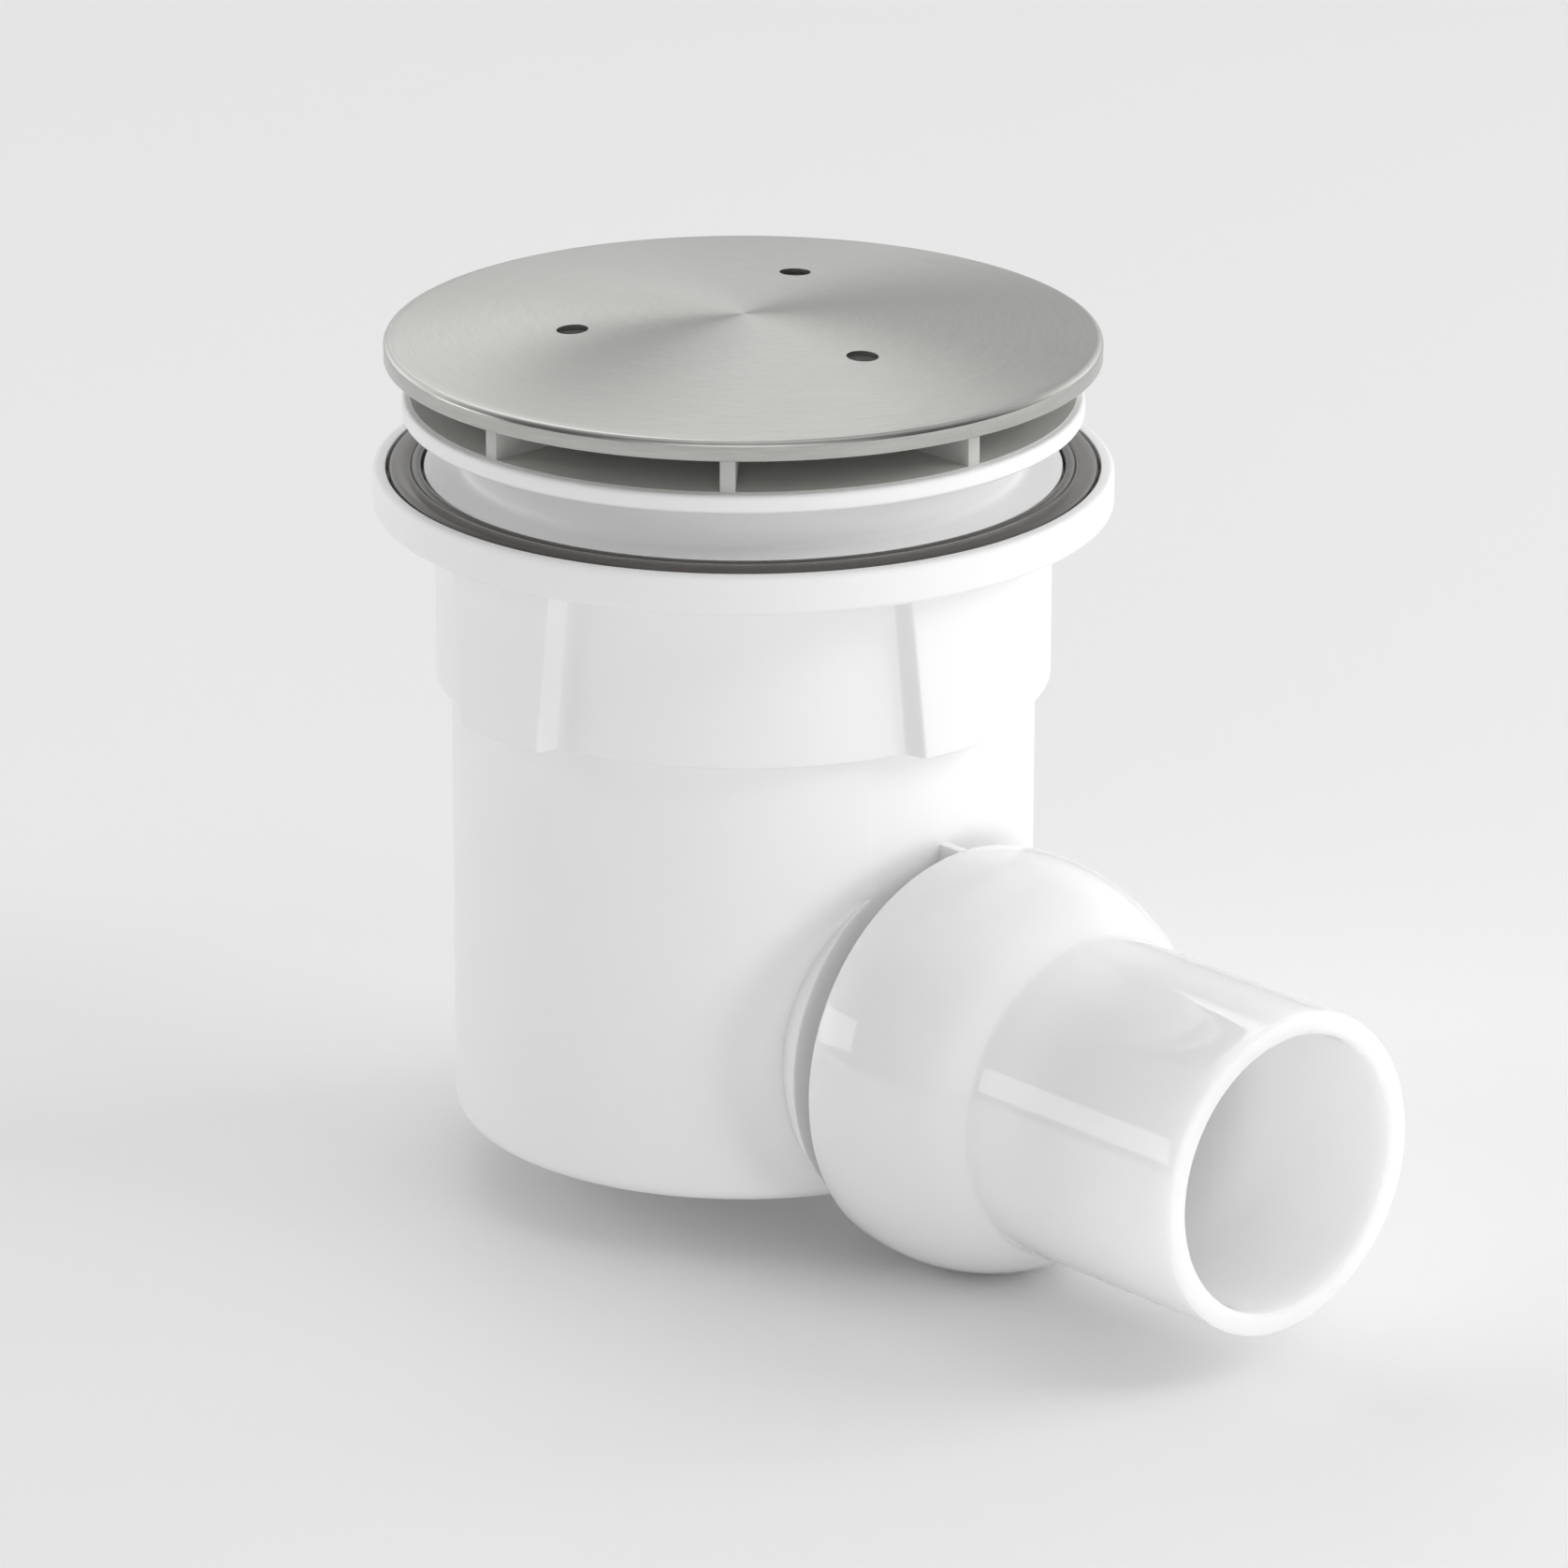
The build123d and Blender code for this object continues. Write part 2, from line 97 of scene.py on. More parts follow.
# Flange collar and its seal
FLANGE_R = 57.4 * MM
FLANGE_H = 6.1 * MM
COLLAR_BORE = 43.3 * MM
HUB_END = -14.0 * MM
SKIRT_R = 47.9 * MM
SKIRT_BORE = 45.8 * MM
SKIRT_END = -33.6 * MM
PAD_R = 51.3 * MM
PADS = 4
PAD_TOP_DEG = 14.6
PAD_END_DEG = 11.7
RAMP_TOP_DEG = 1.7
RAMP_END_DEG = 2.2
GROOVE_IN = 49.4 * MM
GROOVE_OUT = 55.3 * MM
GROOVE_DEPTH = 2.6 * MM
SEAL_GAP = 0.45 * MM
SEAL_CROWN = 0.75 * MM
SEAL_BEAD = 1.5 * MM
SEAL_BEAD_H = 0.45 * MM
SEAL_EDGE = -0.25 * MM

# Body
BODY_R = 45.5 * MM
BODY_BORE = 43.2 * MM
BODY_TOP = -16.5 * MM
BODY_END = -105.4 * MM
BODY_FLOOR = 2.6 * MM
BODY_FILLET = 2.6 * MM
BOSS_BALL = 32.15 * MM
BOSS_FRONT = 43.5 * MM
STUB_R = 23.55 * MM
STUB_BORE = 20.65 * MM
STUB_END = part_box("trap_body")[1].x
LUG_W = 1.6 * MM
LUG_H = 3.0 * MM
LUG_TOP = 32.25 * MM

# Outlet connector
OUTLET_Z = -82.8 * MM
BALL_R = 32.95 * MM
BALL_X = 56.4 * MM
BALL_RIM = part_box("outlet_connector")[0].x
BALL_WALL = 2.6 * MM
BALL_NECK = 2.0 * MM
SPIGOT_R = 25.15 * MM
SPIGOT_BORE = 21.6 * MM
SPIGOT_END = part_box("outlet_connector")[1].x
SOCKET_R = 23.85 * MM
SOCKET_OUT = 26.35 * MM
SOCKET_MOUTH = 52.9 * MM
SOCKET_END = 69.9 * MM
SOCKET_CONE = 4.0 * MM

# Heights that follow
RING_TOP = RING_UNDER + RING_H
COVER_UNDER = RING_TOP + RIB_H
COVER_RIM = COVER_UNDER + COVER_RIM_H
CAP_R = (COVER_R ** 2 + COVER_CROWN ** 2) / (2 * COVER_CROWN)
CAP_Z = COVER_RIM + COVER_CROWN - CAP_R

# Camera: a 200 mm lens on a 36 mm sensor
CAMERA_AWAY = 1285.1 * MM
CAMERA_HIGH = COVER_RIM + 386.5 * MM
CAMERA_AZIMUTH = math.radians(47.6)
CAMERA_PITCH = math.radians(19.69)
CAMERA_YAW = math.radians(0.285)
CAMERA_ROLL = math.radians(-0.112)
CAMERA_LENS = 200.0
FLOOR_Z = OUTLET_Z - BALL_R


def make_camera():
    """Camera at the photograph's viewing angle."""
    data = bpy.data.cameras.new("camera")
    data.lens = CAMERA_LENS
    data.sensor_width = 36.0
    data.clip_start = 0.05
    data.clip_end = 50.0
    camera = bpy.data.objects.new("camera", data)
    bpy.context.scene.collection.objects.link(camera)
    level = Vector((math.sin(CAMERA_YAW), math.cos(CAMERA_YAW), 0))
    forward = level * math.cos(CAMERA_PITCH) - Vector((0, 0, math.sin(CAMERA_PITCH)))
    right = Vector((math.cos(CAMERA_YAW), -math.sin(CAMERA_YAW), 0))
    up = right.cross(forward)
    roll = Matrix.Rotation(-CAMERA_ROLL, 4, "Z")
    turn = Matrix((right, up, -forward)).transposed().to_4x4()
    place = Matrix.Translation((0, -CAMERA_AWAY, CAMERA_HIGH))
    camera.matrix_world = Matrix.Rotation(CAMERA_AZIMUTH, 4, "Z") @ place @ turn @ roll
    bpy.context.scene.camera = camera


make_camera()


# Mesh helpers
def on_trap_axis(r, h):
    """Point of an outline about the trap axis."""
    return Vector((r, 0, h))


def on_outlet_axis(r, h):
    """Point of an outline about the outlet axis, h along it."""
    return Vector((h, 0, OUTLET_Z + r))


def arc(centre, radius, start, end, steps=ARC_STEPS):
    """Points along an arc of an outline, with angles in degrees from the radius direction."""
    turns = [math.radians(start + (end - start) * k / steps) for k in range(steps + 1)]
    return [(centre[0] + radius * math.cos(t), centre[1] + radius * math.sin(t)) for t in turns]


def braced(outline, closed, gap):
    """Outline with a point near both ends of each long line, which keeps the shading of long walls flat."""
    points = []
    ends = list(zip(outline, outline[1:])) + ([(outline[-1], outline[0])] if closed else [])
    for (r0, h0), (r1, h1) in ends:
        points.append((r0, h0))
        length = math.hypot(r1 - r0, h1 - h0)
        if length > 3 * gap:
            for share in (gap / length, 1 - gap / length):
                points.append((r0 + (r1 - r0) * share, h0 + (h1 - h0) * share))
    return points if closed else points + [outline[-1]]


def spin(outline, along="trap", closed=True, steps=STEPS, gap=BRACE):
    """Turns an outline of (radius, height) points about the trap axis or the outlet axis."""
    place, centre, axis = {
        "trap": (on_trap_axis, (0, 0, 0), (0, 0, 1)),
        "outlet": (on_outlet_axis, (0, 0, OUTLET_Z), (1, 0, 0))}[along]
    mesh = bmesh.new()
    points = [mesh.verts.new(place(r, h)) for r, h in braced(outline, closed, gap)]
    pairs = list(zip(points, points[1:]))
    if closed:
        pairs.append((points[-1], points[0]))
    lines = [mesh.edges.new(pair) for pair in pairs]
    bmesh.ops.spin(mesh, geom=points + lines, cent=centre, axis=axis, angle=TURN, steps=steps, use_merge=True)
    bmesh.ops.remove_doubles(mesh, verts=mesh.verts, dist=0.001 * MM)
    bmesh.ops.recalc_face_normals(mesh, faces=mesh.faces)
    return mesh


def soften(mesh, wanted, width, segments=4):
    """Rounds the sharp edges whose middle passes the test."""
    sharp = math.radians(20)
    edges = [e for e in mesh.edges
             if e.calc_face_angle(0) > sharp and wanted((e.verts[0].co + e.verts[1].co) / 2)]
    bmesh.ops.bevel(mesh, geom=edges, offset=width, offset_type="OFFSET", segments=segments, profile=0.5,
                    affect="EDGES", material=-1, clamp_overlap=True)
    return mesh


def at_ring(radius, height, along="trap"):
    """Test for points on a ring about the trap axis or the outlet axis."""
    def wanted(point):
        if along == "trap":
            r, h = math.hypot(point.x, point.y), point.z
        else:
            r, h = math.hypot(point.y, point.z - OUTLET_Z), point.x
        return abs(r - radius) < 0.05 * MM and abs(h - height) < 0.05 * MM
    return wanted


def block(low, high, width=0.0):
    """Box between two corners, with softened edges."""
    mesh = bmesh.new()
    bmesh.ops.create_cube(mesh, size=1.0)
    size = [b - a for a, b in zip(low, high)]
    middle = [(a + b) / 2 for a, b in zip(low, high)]
    bmesh.ops.scale(mesh, vec=size, verts=mesh.verts)
    bmesh.ops.translate(mesh, vec=middle, verts=mesh.verts)
    if width:
        soften(mesh, lambda point: True, width, 3)
    return mesh


def as_object(mesh, name):
    """Object with the mesh, at the origin."""
    data = bpy.data.meshes.new(name)
    mesh.to_mesh(data)
    mesh.free()
    made = bpy.data.objects.new(name, data)
    bpy.context.scene.collection.objects.link(made)
    return made


def combine(target, tools, operation):
    """Joins tools to the target or cuts them from it, and leaves no modifier."""
    for tool in tools:
        step = target.modifiers.new("step", "BOOLEAN")
        step.operation = operation
        step.solver = "EXACT"
        step.object = tool
    graph = bpy.context.evaluated_depsgraph_get()
    data = bpy.data.meshes.new_from_object(target.evaluated_get(graph))
    old = target.data
    target.modifiers.clear()
    target.data = data
    data.name = target.name
    bpy.data.meshes.remove(old)
    for tool in tools:
        bpy.data.meshes.remove(tool.data)
    return target


def finish_piece(piece, material, slot, *nodes, sharp_deg=32):
    """Smooth shading with sharp edges, a material, a body and the nodes that the piece stands for."""
    piece.data.polygons.foreach_set("use_smooth", [True] * len(piece.data.polygons))
    piece.data.set_sharp_from_angle(angle=math.radians(sharp_deg))
    piece.data.materials.clear()
    piece.data.materials.append(material)
    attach(piece, "root")
    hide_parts(*nodes)


def turned_copy(make, count):
    """Objects made by a function, one for each equal turn about the trap axis."""
    copies = []
    for k in range(count):
        mesh = make()
        bmesh.ops.rotate(mesh, verts=mesh.verts, cent=(0, 0, 0), matrix=Matrix.Rotation(TURN * k / count, 3, "Z"))
        copies.append(as_object(mesh, "tool"))
    return copies


# Materials
def socket(group, name, kind, direction, value=None):
    """Adds a socket to a node group."""
    made = group.interface.new_socket(name=name, in_out=direction, socket_type=kind)
    if value is not None:
        made.default_value = value
    return made


def node(tree, kind, **values):
    """Adds a node and sets its properties."""
    made = tree.nodes.new(kind)
    for name, value in values.items():
        setattr(made, name, value)
    return made


def maths(tree, operation, a, b=None):
    """Maths node fed by sockets or plain numbers."""
    made = node(tree, "ShaderNodeMath", operation=operation)
    for slot_in, value in zip(made.inputs, (a, b)):
        if value is None:
            continue
        if isinstance(value, (int, float)):
            slot_in.default_value = value
        else:
            tree.links.new(value, slot_in)
    return made.outputs[0]


def build_grain_group():
    """Fine moulded grain and a soft mottle, from object coordinates."""
    group = bpy.data.node_groups.new("moulded_grain", "ShaderNodeTree")
    socket(group, "Grain Scale", "NodeSocketFloat", "INPUT", 900.0)
    socket(group, "Mottle Scale", "NodeSocketFloat", "INPUT", 40.0)
    socket(group, "Height", "NodeSocketFloat", "OUTPUT")
    socket(group, "Mottle", "NodeSocketFloat", "OUTPUT")
    inputs = node(group, "NodeGroupInput")
    outputs = node(group, "NodeGroupOutput")
    place = node(group, "ShaderNodeTexCoord")
    fine = node(group, "ShaderNodeTexNoise")
    fine.inputs["Detail"].default_value = 3.0
    fine.inputs["Roughness"].default_value = 0.6
    broad = node(group, "ShaderNodeTexNoise")
    broad.inputs["Detail"].default_value = 2.0
    for noise, scale in ((fine, "Grain Scale"), (broad, "Mottle Scale")):
        group.links.new(place.outputs["Object"], noise.inputs["Vector"])
        group.links.new(inputs.outputs[scale], noise.inputs["Scale"])
    group.links.new(fine.outputs["Fac"], outputs.inputs["Height"])
    group.links.new(broad.outputs["Fac"], outputs.inputs["Mottle"])
    return group


def build_turning_group():
    """Streaks that run round the trap axis, as turned brushing leaves them."""
    group = bpy.data.node_groups.new("turned_streaks", "ShaderNodeTree")
    socket(group, "Rings", "NodeSocketFloat", "INPUT", 9000.0)
    socket(group, "Along", "NodeSocketFloat", "INPUT", 6.0)
    socket(group, "Streak", "NodeSocketFloat", "OUTPUT")
    socket(group, "Radius", "NodeSocketFloat", "OUTPUT")
    inputs = node(group, "NodeGroupInput")
    outputs = node(group, "NodeGroupOutput")
    place = node(group, "ShaderNodeTexCoord")
    parts = node(group, "ShaderNodeSeparateXYZ")
    group.links.new(place.outputs["Object"], parts.inputs[0])
    across = maths(group, "MULTIPLY", parts.outputs["X"], parts.outputs["X"])
    deep = maths(group, "MULTIPLY", parts.outputs["Y"], parts.outputs["Y"])
    radius = maths(group, "SQRT", maths(group, "ADD", across, deep))
    height = maths(group, "ADD", radius, parts.outputs["Z"])
    safe = maths(group, "MAXIMUM", radius, 0.0001)
    join = node(group, "ShaderNodeCombineXYZ")
    group.links.new(maths(group, "MULTIPLY", height, inputs.outputs["Rings"]), join.inputs["X"])
    for name in ("X", "Y"):
        share = maths(group, "DIVIDE", parts.outputs[name], safe)
        target = {"X": "Y", "Y": "Z"}[name]
        group.links.new(maths(group, "MULTIPLY", share, inputs.outputs["Along"]), join.inputs[target])
    noise = node(group, "ShaderNodeTexNoise")
    noise.inputs["Scale"].default_value = 1.0
    noise.inputs["Detail"].default_value = 4.0
    noise.inputs["Roughness"].default_value = 0.65
    group.links.new(join.outputs[0], noise.inputs["Vector"])
    group.links.new(noise.outputs["Fac"], outputs.inputs["Streak"])
    group.links.new(radius, outputs.inputs["Radius"])
    return group


GRAIN = build_grain_group()
TURNING = build_turning_group()


def new_material(name):
    """Material with a Principled shader, and the tree and the shader."""
    made = bpy.data.materials.new(name)
    made.use_nodes = True
    return made, made.node_tree, made.node_tree.nodes["Principled BSDF"]


def place_group(tree, group, **values):
    """Puts a node group in a material with its own values."""
    made = node(tree, "ShaderNodeGroup", node_tree=group)
    for name, value in values.items():
        made.inputs[name.replace("_", " ")].default_value = value
    return made


def blend_range(tree, source, low, high):
    """Maps a 0 to 1 value between two numbers."""
    made = node(tree, "ShaderNodeMapRange")
    made.inputs["To Min"].default_value = low
    made.inputs["To Max"].default_value = high
    tree.links.new(source, made.inputs["Value"])
    return made.outputs["Result"]


def blend_colour(tree, source, low, high):
    """Mixes two colours by a value."""
    made = node(tree, "ShaderNodeMix", data_type="RGBA")
    made.inputs["A"].default_value = (*low, 1)
    made.inputs["B"].default_value = (*high, 1)
    made.inputs[6].default_value = (*low, 1)
    made.inputs[7].default_value = (*high, 1)
    tree.links.new(source, made.inputs[0])
    return made.outputs[2]


def add_bump(tree, shader, source, distance, strength=1.0):
    """Bump from a height."""
    made = node(tree, "ShaderNodeBump")
    made.inputs["Distance"].default_value = distance
    made.inputs["Strength"].default_value = strength
    tree.links.new(source, made.inputs["Height"])
    tree.links.new(made.outputs["Normal"], shader.inputs["Normal"])
    return made


def place_along_outlet(tree):
    """Value that goes from 0 on the ball to 1 on the spigot, whose wall lets more light through."""
    place = node(tree, "ShaderNodeTexCoord")
    parts = node(tree, "ShaderNodeSeparateXYZ")
    tree.links.new(place.outputs["Object"], parts.inputs[0])
    made = node(tree, "ShaderNodeMapRange", interpolation_type="SMOOTHSTEP")
    made.inputs["From Min"].default_value = BALL_X + SPIGOT_R
    made.inputs["From Max"].default_value = BALL_X + BALL_R + 6 * MM
    tree.links.new(parts.outputs["X"], made.inputs["Value"])
    return made.outputs["Result"]


def moulded(name, light, dark, rough, grain_scale, grain_depth, coat=0.0, depths=None):
    """Moulded plastic or rubber with a fine grain and a faint mottle."""
    made, tree, shader = new_material(name)
    grain = place_group(tree, GRAIN, Grain_Scale=grain_scale, Mottle_Scale=45.0)
    tree.links.new(blend_colour(tree, grain.outputs["Mottle"], dark, light), shader.inputs["Base Color"])
    tree.links.new(blend_range(tree, grain.outputs["Mottle"], rough[0], rough[1]), shader.inputs["Roughness"])
    add_bump(tree, shader, grain.outputs["Height"], grain_depth)
    shader.inputs["Coat Weight"].default_value = coat
    shader.inputs["Coat Roughness"].default_value = 0.03
    if depths:
        glow = place_along_outlet(tree)
        shader.inputs["Subsurface Radius"].default_value = (1.0, 1.0, 1.0)
        tree.links.new(blend_range(tree, glow, 0.5, 1.0), shader.inputs["Subsurface Weight"])
        tree.links.new(blend_range(tree, glow, *depths), shader.inputs["Subsurface Scale"])
    return made


def make_steel():
    """Stainless steel with turned brushing."""
    made, tree, shader = new_material("turned_steel")
    streaks = place_group(tree, TURNING, Rings=3400.0, Along=9.0)
    broad = place_group(tree, TURNING, Rings=900.0, Along=3.0)
    mix = maths(tree, "ADD", maths(tree, "MULTIPLY", streaks.outputs["Streak"], 0.7),
                maths(tree, "MULTIPLY", broad.outputs["Streak"], 0.3))
    colour = blend_colour(tree, mix, (0.36, 0.365, 0.345), (0.63, 0.635, 0.605))
    tree.links.new(colour, shader.inputs["Base Color"])
    edge = node(tree, "ShaderNodeMapRange")
    edge.inputs["From Min"].default_value = COVER_R - EDGE_BAND
    edge.inputs["From Max"].default_value = COVER_R - EDGE_BAND + EDGE_BLEND
    edge.inputs["To Min"].default_value = 1.0
    edge.inputs["To Max"].default_value = 0.5
    tree.links.new(streaks.outputs["Radius"], edge.inputs["Value"])
    rough = maths(tree, "MULTIPLY", blend_range(tree, mix, 0.24, 0.42), edge.outputs["Result"])
    tree.links.new(rough, shader.inputs["Roughness"])
    shader.inputs["Metallic"].default_value = 1.0
    shader.inputs["Anisotropic"].default_value = 0.92
    tangent = node(tree, "ShaderNodeTangent", direction_type="RADIAL", axis="Z")
    tree.links.new(tangent.outputs["Tangent"], shader.inputs["Tangent"])
    add_bump(tree, shader, streaks.outputs["Streak"], 0.006 * MM)
    return made


STEEL = make_steel()
GREY = moulded("grey_moulding", (0.56, 0.565, 0.54), (0.52, 0.525, 0.50), (0.36, 0.46), 2500.0, 0.01 * MM)
INSERT = moulded("insert_moulding", (0.70, 0.71, 0.71), (0.66, 0.67, 0.67), (0.34, 0.44), 2500.0, 0.01 * MM)
WHITE = moulded("satin_white", (0.93, 0.93, 0.93), (0.91, 0.91, 0.91), (0.34, 0.42), 2500.0, 0.006 * MM)
GLOSS = moulded("gloss_white", (0.965, 0.965, 0.965), (0.955, 0.955, 0.955), (0.04, 0.06), 60.0, 0.006 * MM, coat=0.3,
                depths=(6 * MM, 14 * MM))
SEAL = moulded("seal_rubber", (0.105, 0.097, 0.09), (0.08, 0.073, 0.067), (0.2, 0.27), 1800.0, 0.01 * MM)
RUBBER = moulded("black_rubber", (0.03, 0.03, 0.03), (0.02, 0.02, 0.02), (0.4, 0.5), 1800.0, 0.01 * MM)


# Pieces
def cap_point(r, depth=0.0):
    """Point of the domed cover's outline at radius r, lying depth below the face."""
    return (r, CAP_Z + math.sqrt((CAP_R - depth) ** 2 - r ** 2))


def cap_line(r, depth, steps=24):
    """Outline of the dome from the axis to radius r."""
    return [cap_point(r * k / steps, depth) for k in range(steps + 1)]


def hole_tools(radius, top=COVER_RIM + 2 * COVER_CROWN):
    """Drills for the cover's holes, up to a height."""
    def make():
        return bmesh_rod(radius, COVER_HOLE_PLACE, COVER_UNDER - COVER_RIM_H, top)
    return turned_copy(make, COVER_HOLES)


def bmesh_rod(radius, away, low, high):
    """Upright cylinder away from the trap axis."""
    mesh = bmesh.new()
    bmesh.ops.create_cone(mesh, cap_ends=True, segments=64, radius1=radius, radius2=radius, depth=high - low)
    bmesh.ops.translate(mesh, vec=(away, 0, (low + high) / 2), verts=mesh.verts)
    return mesh


def make_cover():
    """Domed steel plate with a turned-down rim and three holes."""
    inner = COVER_R - COVER_SHEET
    outline = cap_line(COVER_R, 0) + [(COVER_R, COVER_UNDER), (inner, COVER_UNDER)]
    outline += list(reversed(cap_line(inner, COVER_SHEET)))
    mesh = spin(outline, closed=False)
    soften(mesh, at_ring(COVER_R, COVER_RIM), 0.8 * MM, 6)
    soften(mesh, at_ring(COVER_R, COVER_UNDER), 0.2 * MM, 3)
    drills = hole_tools(COVER_HOLE_R) + hole_tools(HOLE_RELIEF_R, cap_point(COVER_HOLE_PLACE)[1] - HOLE_LIP)
    cover = combine(as_object(mesh, "cover_plate_brushed"), drills, "DIFFERENCE")
    finish_piece(cover, STEEL, "brushed_steel", "cover_plate")


def make_carrier():
    """Grey moulding under the cover, with its ribs, a thin grey sheet at their feet that paints shade into the slots
    between them, and the locating ring.
    """
    depth = COVER_SHEET + 0.1 * MM
    hollow = CARRIER_R - CARRIER_RIM
    outline = cap_line(CARRIER_R, depth) + [(CARRIER_R, COVER_UNDER), (hollow, COVER_UNDER)]
    outline += list(reversed(cap_line(hollow, depth + CARRIER_SKIN)))
    carrier = as_object(spin(outline, closed=False), "cover_carrier_ribbed")
    low = RING_TOP - LOCATING_DEPTH
    inner = LOCATING_R - LOCATING_WALL
    ring = spin([(inner, low), (LOCATING_R, low), (LOCATING_R, RING_TOP), (inner, RING_TOP)])
    # Thin grey sheet over the white ring top, out to the ribs' ends: painted shade that darkens the slots between the
    # ribs
    sheet_low, sheet_top = RING_TOP - SHADE_SHEET_H / 4, RING_TOP + SHADE_SHEET_H
    foot = spin([(SHADE_SHEET_IN, sheet_low), (RIB_OUTER, sheet_low), (RIB_OUTER, sheet_top), (SHADE_SHEET_IN, sheet_top)])
    tools = [as_object(ring, "tool"), as_object(foot, "tool")]
    under = cap_point(RIB_OUTER, depth + CARRIER_SKIN / 2)[1]
    tools += turned_copy(lambda: block((RIB_INNER, -RIB_W / 2, RING_TOP), (RIB_OUTER, RIB_W / 2, under), 0.12 * MM),
                         RIBS)
    web = LOCATING_R - LOCATING_WALL / 2
    tools += turned_copy(lambda: block((RIB_INNER, -RIB_W / 2, low), (web, RIB_W / 2, COVER_UNDER)), RIBS)
    combine(carrier, tools, "UNION")
    combine(carrier, hole_tools(HOLE_RELIEF_R), "DIFFERENCE")
    finish_piece(carrier, GREY, "grey_plastic", "cover_carrier")


def make_sleeve():
    """White clamping ring on its neck, which flares where it meets the flange."""
    flare = arc((NECK_R + FOOT_FLARE, FOOT_FLARE), FOOT_FLARE, 180, 270)
    flare += [(NECK_R + FOOT_FLARE, -0.05 * MM), (NECK_R, -0.05 * MM)]
    mesh = spin([(BORE_R, RING_TOP), (RING_R, RING_TOP), (RING_R, RING_UNDER), (NECK_R, RING_UNDER)] + flare
                + [(NECK_R, NOSE_TOP), (NOSE_R, NOSE_TOP), (NOSE_R, NOSE_END), (LIP_R, NOSE_END),
                   (LIP_R, LIP_TOP), (BORE_R, LIP_TOP)])
    for r, h in ((RING_R, RING_TOP), (RING_R, RING_UNDER), (NECK_R, RING_UNDER), (BORE_R, RING_TOP)):
        soften(mesh, at_ring(r, h), 0.7 * MM)
    finish_piece(as_object(mesh, "clamping_sleeve_white"), WHITE, "white_satin_plastic", "clamping_sleeve")


def make_seal():
    """Rubber ring with a rounded back and a bead along its inner edge."""
    inner = GROOVE_IN + SEAL_GAP
    outer = GROOVE_OUT - SEAL_GAP
    valley = inner + SEAL_BEAD

    def bow(start, end, crown):
        steps = ARC_STEPS
        points = []
        for k in range(steps + 1):
            t = k / steps
            level = start[1] + (end[1] - start[1]) * t
            points.append((start[0] + (end[0] - start[0]) * t, level + crown * math.sqrt(max(0, 4 * t * (1 - t)))))
        return points
    outline = bow((inner, 0), (valley, 0), SEAL_BEAD_H)
    outline += bow((valley, 0), (outer, SEAL_EDGE), SEAL_CROWN + SEAL_EDGE / 2)[1:]
    outline += [(outer, -GROOVE_DEPTH), (inner, -GROOVE_DEPTH)]
    finish_piece(as_object(spin(outline), "flange_seal_rubber"), SEAL, "brown_rubber", "flange_seal", sharp_deg=50)


def pad_turn(share, height):
    """Angle in degrees and rise of a grip pad, for a share from 0 at its middle to 1 halfway to the next pad."""
    down = min(1, max(0, (height + FLANGE_H) / (SKIRT_END + FLANGE_H)))
    foot = PAD_TOP_DEG + (PAD_END_DEG - PAD_TOP_DEG) * down
    crest = foot - RAMP_TOP_DEG - (RAMP_END_DEG - RAMP_TOP_DEG) * down
    half = 180 / PADS
    crest_share, foot_share = 0.35, 0.65
    if share < crest_share:
        return crest * share / crest_share, 1.0
    if share > foot_share:
        return foot + (half - foot) * (share - foot_share) / (1 - foot_share), 0.0
    t = (share - crest_share) / (foot_share - crest_share)
    return crest + (foot - crest) * t, 0.5 + 0.5 * math.cos(math.pi * t)


def make_collar():
    """Flange with its seal groove, and a skirt with four grip pads."""
    grooved = [(COLLAR_BORE, 0), (GROOVE_IN, 0), (GROOVE_IN, -GROOVE_DEPTH), (GROOVE_OUT, -GROOVE_DEPTH),
               (GROOVE_OUT, 0), (FLANGE_R, 0), (FLANGE_R, -FLANGE_H), (SKIRT_R, -FLANGE_H),
               (SKIRT_R, SKIRT_END), (SKIRT_BORE, SKIRT_END), (SKIRT_BORE, HUB_END), (COLLAR_BORE, HUB_END)]
    mesh = spin(grooved, steps=80 * PADS)
    for r, h, width in ((FLANGE_R, 0, 0.9), (FLANGE_R, -FLANGE_H, 0.9), (GROOVE_IN, 0, 0.2), (GROOVE_OUT, 0, 0.2),
                        (SKIRT_R, SKIRT_END, 0.35)):
        soften(mesh, at_ring(r, h), width * MM)
    quarter = TURN / PADS
    for vertex in mesh.verts:
        radius = math.hypot(vertex.co.x, vertex.co.y)
        bearing = math.atan2(vertex.co.y, vertex.co.x)
        middle = round(bearing / quarter) * quarter
        side = bearing - middle
        degrees, rise = pad_turn(abs(side) / (quarter / 2), vertex.co.z)
        on_skirt = abs(radius - SKIRT_R) < 0.5 * MM and vertex.co.z < -FLANGE_H + 0.1 * MM
        if on_skirt:
            radius += rise * (PAD_R - SKIRT_R)
        bearing = middle + math.copysign(math.radians(degrees), side)
        vertex.co.x = radius * math.cos(bearing)
        vertex.co.y = radius * math.sin(bearing)
    collar = as_object(mesh, "flange_collar_white")
    finish_piece(collar, WHITE, "white_satin_plastic", "flange_collar")


